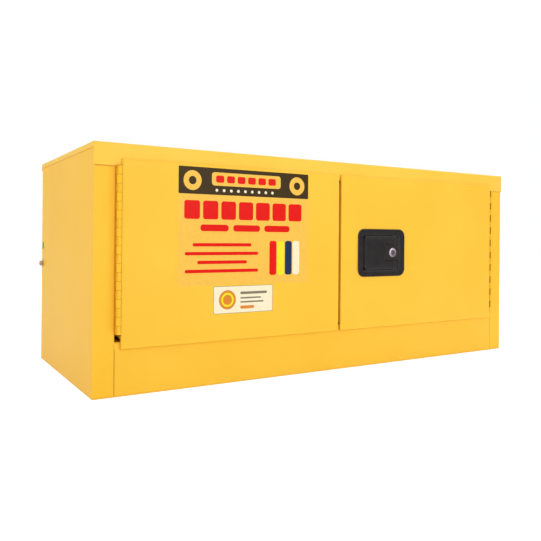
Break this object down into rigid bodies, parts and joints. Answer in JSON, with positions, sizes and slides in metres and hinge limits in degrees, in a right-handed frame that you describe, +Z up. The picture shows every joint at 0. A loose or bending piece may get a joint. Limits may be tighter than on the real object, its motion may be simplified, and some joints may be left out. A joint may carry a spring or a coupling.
{
  "type": "flammable storage cabinet",
  "caption": "Low, wide double-walled steel safety cabinet with a pair of doors on piano hinges, a flush paddle latch with lock, and an inner shelf.",
  "frame": {"origin": "centre of the case's underside, on the surface that it stands on", "axes": "+X along the width to the right as seen from the front, -Y out of the front with the doors, +Z up"},
  "size_m": [1.0996, 0.4557, 0.4572],
  "materials": {
    "yellow_paint": "semi-gloss safety-yellow powder coat",
    "black_moulding": "satin black moulding",
    "plated_steel": "bright nickel plate",
    "zinc_steel": "zinc-plated or galvanised steel",
    "guide_plastic": "natural nylon",
    "brass_hardware": "plain brass"
  },
  "bodies": {
    "case": {"top_cap": "yellow_paint", "left_side_panel": "yellow_paint", "right_side_panel": "yellow_paint", "front_base_panel": "yellow_paint", "back_panel": "yellow_paint", "bottom_panel": "yellow_paint", "left_liner": "yellow_paint", "right_liner": "yellow_paint", "back_liner": "yellow_paint", "top_liner": "yellow_paint", "floor_pan": "yellow_paint", "floor_channels": "zinc_steel", "shelf_standards": "zinc_steel", "shelf_brackets": "zinc_steel", "left_frame_leaf": "yellow_paint", "right_frame_leaf": "yellow_paint", "left_hinge_pin": "plated_steel", "right_hinge_pin": "plated_steel", "vent_collars": "zinc_steel", "vent_locknuts": "zinc_steel", "flame_arresters": "brass_hardware", "ground_bolt": "brass_hardware", "ground_washer": "brass_hardware", "ground_nut": "brass_hardware"},
    "left_door": {"left_door_shell": "yellow_paint", "left_door_liner": "yellow_paint", "left_door_leaf": "yellow_paint"},
    "right_door": {"right_door_shell": "yellow_paint", "right_door_liner": "yellow_paint", "right_door_leaf": "yellow_paint", "latch_bezel": "black_moulding", "bezel_screws": "zinc_steel", "paddle_pins": "zinc_steel", "latch_case": "zinc_steel", "hub_stud": "zinc_steel", "rod_guides": "guide_plastic", "lock_cylinder": "plated_steel", "lock_nut": "zinc_steel"},
    "paddle": {"latch_paddle": "black_moulding"},
    "link": {"drive_link": "zinc_steel"},
    "hub": {"drive_hub": "zinc_steel", "drive_pins": "zinc_steel"},
    "upper_rod": {"upper_rod": "zinc_steel"},
    "lower_rod": {"lower_rod": "zinc_steel"},
    "centre_bolt": {"centre_bolt": "zinc_steel"},
    "lock": {"lock_plug": "plated_steel", "lock_cam": "zinc_steel"},
    "shelf": {"shelf": "zinc_steel"},
    "upper_vent_cap": {"upper_vent_cap": "zinc_steel"},
    "lower_vent_cap": {"lower_vent_cap": "zinc_steel"}
  },
  "joints": [
    {"name": "left_door_hinge", "type": "hinge", "parent": "case", "child": "left_door", "pos_m": [-0.50008, -0.2199, 0.26335], "axis": [0, 0, -1], "range_deg": [0, 180]},
    {"name": "right_door_hinge", "type": "hinge", "parent": "case", "child": "right_door", "pos_m": [0.50008, -0.2199, 0.26335], "axis": [0, 0, 1], "range_deg": [0, 180]},
    {"name": "paddle_pull", "type": "hinge", "parent": "right_door", "child": "paddle", "pos_m": [0.1665, -0.214, 0.25625], "axis": [0, 0, 1], "range_deg": [0, 22], "stiffness_Nm_per_rad": 0.5, "springref_deg": -17.19},
    {"name": "link_slide", "type": "slide", "parent": "right_door", "child": "link", "axis": [-1, 0, 0], "range_m": [0, 0.00962]},
    {"name": "hub_turn", "type": "hinge", "parent": "right_door", "child": "hub", "pos_m": [0.062, -0.1974, 0.25625], "axis": [0, -1, 0], "range_deg": [0, 35]},
    {"name": "upper_rod_slide", "type": "slide", "parent": "right_door", "child": "upper_rod", "axis": [0, 0, -1], "range_m": [0, 0.01323]},
    {"name": "lower_rod_slide", "type": "slide", "parent": "right_door", "child": "lower_rod", "axis": [0, 0, 1], "range_m": [0, 0.01323]},
    {"name": "centre_bolt_slide", "type": "slide", "parent": "right_door", "child": "centre_bolt", "axis": [1, 0, 0], "range_m": [0, 0.01323]},
    {"name": "lock_turn", "type": "hinge", "parent": "right_door", "child": "lock", "pos_m": [0.155, -0.21, 0.25625], "axis": [0, -1, 0], "range_deg": [0, 90]},
    {"name": "shelf_lift", "type": "slide", "parent": "case", "child": "shelf", "axis": [0, 0, 1], "range_m": [0, 0.1]},
    {"name": "upper_vent_cap_pull", "type": "slide", "parent": "case", "child": "upper_vent_cap", "axis": [0, 1, 0], "range_m": [0, 0.03]},
    {"name": "lower_vent_cap_pull", "type": "slide", "parent": "case", "child": "lower_vent_cap", "axis": [0, 1, 0], "range_m": [0, 0.03]}
  ],
  "couplings": [
    {"joint": "link_slide", "follows": "paddle_pull", "m_per_rad": 0.02504},
    {"joint": "hub_turn", "follows": "paddle_pull", "ratio": 1.5909},
    {"joint": "upper_rod_slide", "follows": "paddle_pull", "m_per_rad": 0.03445},
    {"joint": "lower_rod_slide", "follows": "paddle_pull", "m_per_rad": 0.03445},
    {"joint": "centre_bolt_slide", "follows": "paddle_pull", "m_per_rad": 0.03445}
  ]
}
